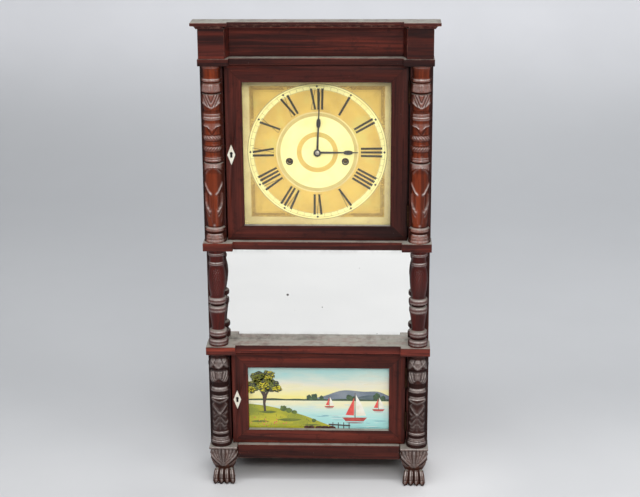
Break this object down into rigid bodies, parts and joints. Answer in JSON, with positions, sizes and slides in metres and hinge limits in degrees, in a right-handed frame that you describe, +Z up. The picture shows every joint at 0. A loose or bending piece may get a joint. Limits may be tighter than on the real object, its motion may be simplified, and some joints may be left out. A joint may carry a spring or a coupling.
{
  "type": "weight-driven shelf clock",
  "caption": "Three-tier weight-driven shelf clock in a mahogany case with carved half columns, paw feet, a glazed dial door, a mirror and a lower door with a painted glass tablet.",
  "frame": {"origin": "on the floor, at the middle of the footprint", "axes": "+Z up, +X to the right seen from the front, +Y to the back; the front faces -Y"},
  "size_m": [0.468, 0.152, 0.953],
  "materials": {
    "mahogany": "old satin varnish over mahogany veneer",
    "carved_mahogany": "worn varnish over carved mahogany",
    "pine": "bare aged pine",
    "brass": "aged satin",
    "blued_steel": "dark blued",
    "cast_iron": "rough casting",
    "glass": "old window glass",
    "painted_glass": "glass painted on the back",
    "mirror": "aged silvered glass",
    "bone": "polished bone",
    "dial": "cream paint with gold bands",
    "cord": "twisted flax"
  },
  "bodies": {
    "root": {"back_board": "pine", "bottom_board": "pine", "top_board": "pine", "base_rail": "mahogany", "left_side_board": "mahogany", "right_side_board": "mahogany", "lower_belt": "mahogany", "upper_belt": "mahogany", "architrave": "mahogany", "frieze_board": "mahogany", "frieze_block_left": "mahogany", "frieze_block_right": "mahogany", "cornice": "mahogany", "mirror": "mirror", "upper_column_left": "carved_mahogany", "upper_column_right": "carved_mahogany", "middle_column_left": "carved_mahogany", "middle_column_right": "carved_mahogany", "lower_column_left": "carved_mahogany", "lower_column_right": "carved_mahogany", "paw_foot_left": "carved_mahogany", "paw_foot_right": "carved_mahogany", "dial": "dial", "movement_front_plate": "brass", "movement_back_plate": "brass", "gong": "blued_steel", "upper_hinge_top_case_leaf": "brass", "upper_hinge_bottom_case_leaf": "brass", "lower_hinge_top_case_leaf": "brass", "lower_hinge_bottom_case_leaf": "brass", "cord_left": "cord", "cord_right": "cord"},
    "upper_door": {"upper_door_frame": "mahogany", "upper_door_glass": "glass", "upper_escutcheon": "bone", "upper_hinge_top_door_leaf": "brass", "upper_hinge_bottom_door_leaf": "brass"},
    "upper_lock": {"upper_lock_bolt": "brass"},
    "lower_door": {"lower_door_frame": "mahogany", "lower_door_tablet": "painted_glass", "lower_escutcheon": "bone", "lower_hinge_top_door_leaf": "brass", "lower_hinge_bottom_door_leaf": "brass"},
    "lower_lock": {"lower_lock_bolt": "brass"},
    "time_great_wheel": {"time_great_wheel": "brass"},
    "time_drum": {"time_drum": "brass"},
    "centre_arbor": {"centre_wheel": "brass", "minute_hand": "blued_steel"},
    "third_wheel": {"third_wheel": "brass"},
    "escape_wheel": {"escape_wheel": "brass"},
    "minute_wheel": {"minute_wheel": "brass"},
    "hour_hand": {"hour_hand": "blued_steel"},
    "verge": {"verge": "blued_steel"},
    "pendulum": {"pendulum": "brass"},
    "strike_drum": {"strike_drum": "brass"},
    "hammer": {"hammer": "blued_steel"},
    "weight_left": {"weight_left": "cast_iron"},
    "weight_right": {"weight_right": "cast_iron"},
    "pulley_left": {"pulley_left": "brass"},
    "pulley_right": {"pulley_right": "brass"}
  },
  "joints": [
    {"name": "upper_door_hinge", "type": "hinge", "parent": "root", "child": "upper_door", "pos_m": [0.177, -0.0428, 0.694], "axis": [0, 0, 1], "range_deg": [0, 100]},
    {"name": "lower_door_hinge", "type": "hinge", "parent": "root", "child": "lower_door", "pos_m": [0.177, -0.0428, 0.184], "axis": [0, 0, 1], "range_deg": [0, 100]},
    {"name": "upper_lock_slide", "type": "slide", "parent": "upper_door", "child": "upper_lock", "axis": [-1, 0, 0], "range_m": [0, 0.005]},
    {"name": "lower_lock_slide", "type": "slide", "parent": "lower_door", "child": "lower_lock", "axis": [-1, 0, 0], "range_m": [0, 0.005]},
    {"name": "weight_left_slide", "type": "slide", "parent": "root", "child": "weight_left", "axis": [0, 0, 1], "range_m": [0, 0.6], "deforming": ["cord_left"]},
    {"name": "weight_right_slide", "type": "slide", "parent": "root", "child": "weight_right", "axis": [0, 0, 1], "range_m": [0, 0.6], "deforming": ["cord_right"]},
    {"name": "pulley_left_spin", "type": "hinge", "parent": "root", "child": "pulley_left", "pos_m": [-0.17, 0.028, 0.917], "axis": [0, 1, 0], "range_deg": [-10, 3450]},
    {"name": "pulley_right_spin", "type": "hinge", "parent": "root", "child": "pulley_right", "pos_m": [0.17, 0.028, 0.917], "axis": [0, 1, 0], "range_deg": [-3450, 10]},
    {"name": "strike_drum_spin", "type": "hinge", "parent": "root", "child": "strike_drum", "pos_m": [-0.0545, 0.028, 0.6716], "axis": [0, 1, 0], "range_deg": [-1200, 10]},
    {"name": "time_drum_spin", "type": "hinge", "parent": "root", "child": "time_drum", "pos_m": [0.0545, 0.028, 0.6716], "axis": [0, 1, 0], "range_deg": [-10, 1200]},
    {"name": "escape_wheel_spin", "type": "hinge", "parent": "root", "child": "escape_wheel", "pos_m": [0, 0.034, 0.73315], "axis": [0, 1, 0], "continuous": true},
    {"name": "third_wheel_spin", "type": "hinge", "parent": "root", "child": "third_wheel", "pos_m": [0.013, 0.027, 0.71298], "axis": [0, 1, 0], "continuous": true},
    {"name": "centre_arbor_spin", "type": "hinge", "parent": "root", "child": "centre_arbor", "pos_m": [0, 0.02, 0.69], "axis": [0, 1, 0], "continuous": true},
    {"name": "time_great_wheel_spin", "type": "hinge", "parent": "root", "child": "time_great_wheel", "pos_m": [0.0545, 0.014, 0.6716], "axis": [0, 1, 0], "continuous": true},
    {"name": "minute_wheel_spin", "type": "hinge", "parent": "root", "child": "minute_wheel", "pos_m": [0, 0.006, 0.672], "axis": [0, 1, 0], "continuous": true},
    {"name": "hour_hand_spin", "type": "hinge", "parent": "root", "child": "hour_hand", "pos_m": [0, 0.003, 0.69], "axis": [0, 1, 0], "continuous": true},
    {"name": "pendulum_swing", "type": "hinge", "parent": "root", "child": "pendulum", "pos_m": [0, 0.052, 0.75915], "axis": [0, 1, 0], "range_deg": [-4, 4]},
    {"name": "verge_rock", "type": "hinge", "parent": "root", "child": "verge", "pos_m": [0, 0.035, 0.75915], "axis": [0, 1, 0], "range_deg": [-4, 4]},
    {"name": "hammer_lift", "type": "hinge", "parent": "root", "child": "hammer", "pos_m": [-0.02, 0.061, 0.634], "axis": [0, 1, 0], "range_deg": [0, 22]}
  ],
  "couplings": [
    {"joint": "third_wheel_spin", "follows": "centre_arbor_spin", "ratio": -10},
    {"joint": "escape_wheel_spin", "follows": "centre_arbor_spin", "ratio": 90},
    {"joint": "time_great_wheel_spin", "follows": "centre_arbor_spin", "ratio": -0.083333},
    {"joint": "minute_wheel_spin", "follows": "centre_arbor_spin", "ratio": -0.33333},
    {"joint": "hour_hand_spin", "follows": "centre_arbor_spin", "ratio": 0.083333},
    {"joint": "verge_rock", "follows": "pendulum_swing", "ratio": 1},
    {"joint": "pulley_left_spin", "follows": "weight_left_slide", "rad_per_m": 100},
    {"joint": "strike_drum_spin", "follows": "weight_left_slide", "rad_per_m": -34.13},
    {"joint": "pulley_right_spin", "follows": "weight_right_slide", "rad_per_m": -100},
    {"joint": "time_drum_spin", "follows": "weight_right_slide", "rad_per_m": 34.13}
  ]
}
